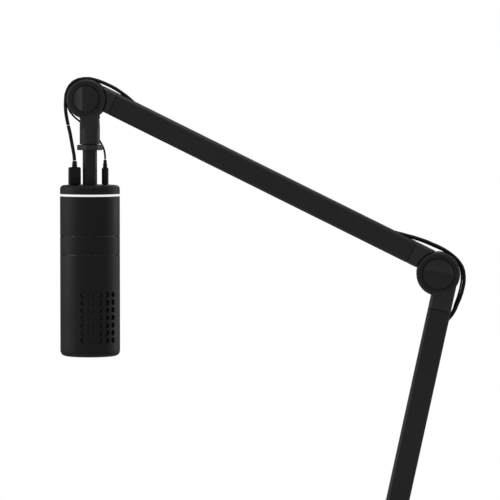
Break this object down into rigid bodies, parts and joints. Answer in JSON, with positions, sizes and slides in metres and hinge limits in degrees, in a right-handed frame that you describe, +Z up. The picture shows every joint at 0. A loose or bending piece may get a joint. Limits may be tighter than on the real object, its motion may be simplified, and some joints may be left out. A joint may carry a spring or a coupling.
{
  "type": "condenser microphone",
  "caption": "Cylindrical condenser microphone hanging from an articulated boom arm with friction hinges, lead channels and a desk clamp.",
  "frame": {"origin": "on the swivel axis, level with the top of the desk that the clamp holds", "axes": "+Z up along the swivel axis; the arm lies in the XZ plane and the microphone hangs at -X"},
  "size_m": [0.3929, 0.0714, 0.77],
  "materials": {
    "case": "satin black paint",
    "arm_tube": "satin black paint",
    "arm_joint": "satin black paint",
    "channel_cover": "matte black",
    "knob": "fine-grained black",
    "steel": "blackened steel",
    "pole": "satin black paint",
    "light_guide": "milky white, lit",
    "circuit_board": "green solder mask",
    "mesh": "black woven wire",
    "capsule": "satin",
    "chassis": "plain",
    "inner_plastic": "matte",
    "rubber": "matte",
    "plug": "moulded, matte",
    "usb_lead": "smooth black jacket",
    "headphone_lead": "smooth black jacket"
  },
  "bodies": {
    "clamp": {"clamp_frame": "arm_joint", "desk_pad": "rubber", "swivel_bush": "rubber", "usb_lead_base": "usb_lead", "usb_lead_coil": "usb_lead", "usb_host_plug": "plug", "headphone_lead_base": "headphone_lead", "headphone_lead_coil": "headphone_lead", "headphone_far_socket": "plug"},
    "pressure_pad": {"pressure_pad": "steel"},
    "clamp_screw": {"clamp_screw": "steel", "clamp_handle": "steel"},
    "swivel": {"yoke": "arm_joint", "swivel_pin": "steel", "shoulder_nut": "steel", "usb_lead_tail": "usb_lead", "headphone_lead_tail": "headphone_lead"},
    "shoulder_knob": {"shoulder_knob": "knob", "shoulder_bolt": "steel"},
    "lower_arm": {"lower_tube": "arm_tube", "lower_channel_cover": "channel_cover", "elbow_clevis": "arm_joint", "shoulder_fitting": "arm_joint", "elbow_nut": "steel", "usb_lead_lower": "usb_lead", "headphone_lead_lower": "headphone_lead"},
    "elbow_knob": {"elbow_knob": "knob", "elbow_bolt": "steel"},
    "upper_arm": {"upper_tube": "arm_tube", "upper_channel_cover": "channel_cover", "elbow_fitting": "arm_joint", "wrist_fitting": "arm_joint", "usb_lead_upper": "usb_lead", "headphone_lead_upper": "headphone_lead"},
    "head_post": {"wrist_clevis": "arm_joint", "wrist_nut": "steel"},
    "wrist_knob": {"wrist_knob": "knob", "wrist_bolt": "steel"},
    "lock_nut": {"lock_nut": "arm_joint"},
    "microphone": {"pole": "pole", "top_cap": "case", "light_ring": "light_guide", "light_board": "circuit_board", "upper_shell": "case", "lower_shell": "case", "acoustic_mesh": "mesh", "capsule": "capsule", "capsule_cradle": "rubber", "capsule_bracket": "inner_plastic", "chassis": "chassis", "main_board": "circuit_board", "usb_socket": "chassis", "headphone_socket": "inner_plastic", "usb_plug": "plug", "headphone_plug": "plug", "usb_lead_riser": "usb_lead", "headphone_lead_riser": "headphone_lead"},
    "gain_ring": {"gain_ring": "case"}
  },
  "joints": [
    {"name": "clamp_travel", "type": "slide", "parent": "clamp", "child": "pressure_pad", "axis": [0, 0, 1], "range_m": [-0.022, 0.02]},
    {"name": "clamp_screw_turn", "type": "hinge", "parent": "pressure_pad", "child": "clamp_screw", "pos_m": [0, 0, -0.08], "axis": [0, 0, 1], "range_deg": [-2650, 2410]},
    {"name": "base_swivel", "type": "hinge", "parent": "clamp", "child": "swivel", "pos_m": [0, 0, 0.05], "axis": [0, 0, 1], "range_deg": [-170, 170], "deforming": ["usb_lead_base", "headphone_lead_base"]},
    {"name": "shoulder_tilt", "type": "hinge", "parent": "swivel", "child": "lower_arm", "pos_m": [0, 0, 0.096], "axis": [0, 1, 0], "range_deg": [-50, 55], "deforming": ["usb_lead_tail", "headphone_lead_tail"]},
    {"name": "shoulder_knob_turn", "type": "hinge", "parent": "swivel", "child": "shoulder_knob", "pos_m": [0, 0, 0.096], "axis": [0, 1, 0], "range_deg": [-180, 180]},
    {"name": "elbow_tilt", "type": "hinge", "parent": "lower_arm", "child": "upper_arm", "pos_m": [0.08009, 0, 0.46644], "axis": [0, 1, 0], "range_deg": [-58, 72], "deforming": ["usb_lead_lower", "headphone_lead_lower"]},
    {"name": "elbow_knob_turn", "type": "hinge", "parent": "lower_arm", "child": "elbow_knob", "pos_m": [0.08009, 0, 0.46644], "axis": [0, 1, 0], "range_deg": [-180, 180]},
    {"name": "wrist_tilt", "type": "hinge", "parent": "upper_arm", "child": "head_post", "pos_m": [-0.25953, 0, 0.63466], "axis": [0, -1, 0], "range_deg": [-95, 14], "deforming": ["usb_lead_upper", "headphone_lead_upper"]},
    {"name": "wrist_knob_turn", "type": "hinge", "parent": "head_post", "child": "wrist_knob", "pos_m": [-0.25953, 0, 0.63466], "axis": [0, 1, 0], "range_deg": [-180, 180]},
    {"name": "lock_nut_turn", "type": "hinge", "parent": "head_post", "child": "lock_nut", "pos_m": [-0.25713, 0, 0.58806], "axis": [0, 0, 1], "range_deg": [-180, 180]},
    {"name": "microphone_pan", "type": "hinge", "parent": "head_post", "child": "microphone", "pos_m": [-0.25713, 0, 0.55166], "axis": [0, 0, 1], "range_deg": [-90, 90], "deforming": ["usb_lead_riser", "headphone_lead_riser"]},
    {"name": "gain_ring_turn", "type": "hinge", "parent": "microphone", "child": "gain_ring", "pos_m": [-0.25713, 0, 0.49336], "axis": [0, 0, 1], "range_deg": [-150, 150]}
  ],
  "couplings": [
    {"joint": "clamp_screw_turn", "follows": "clamp_travel", "rad_per_m": 2094.4}
  ]
}
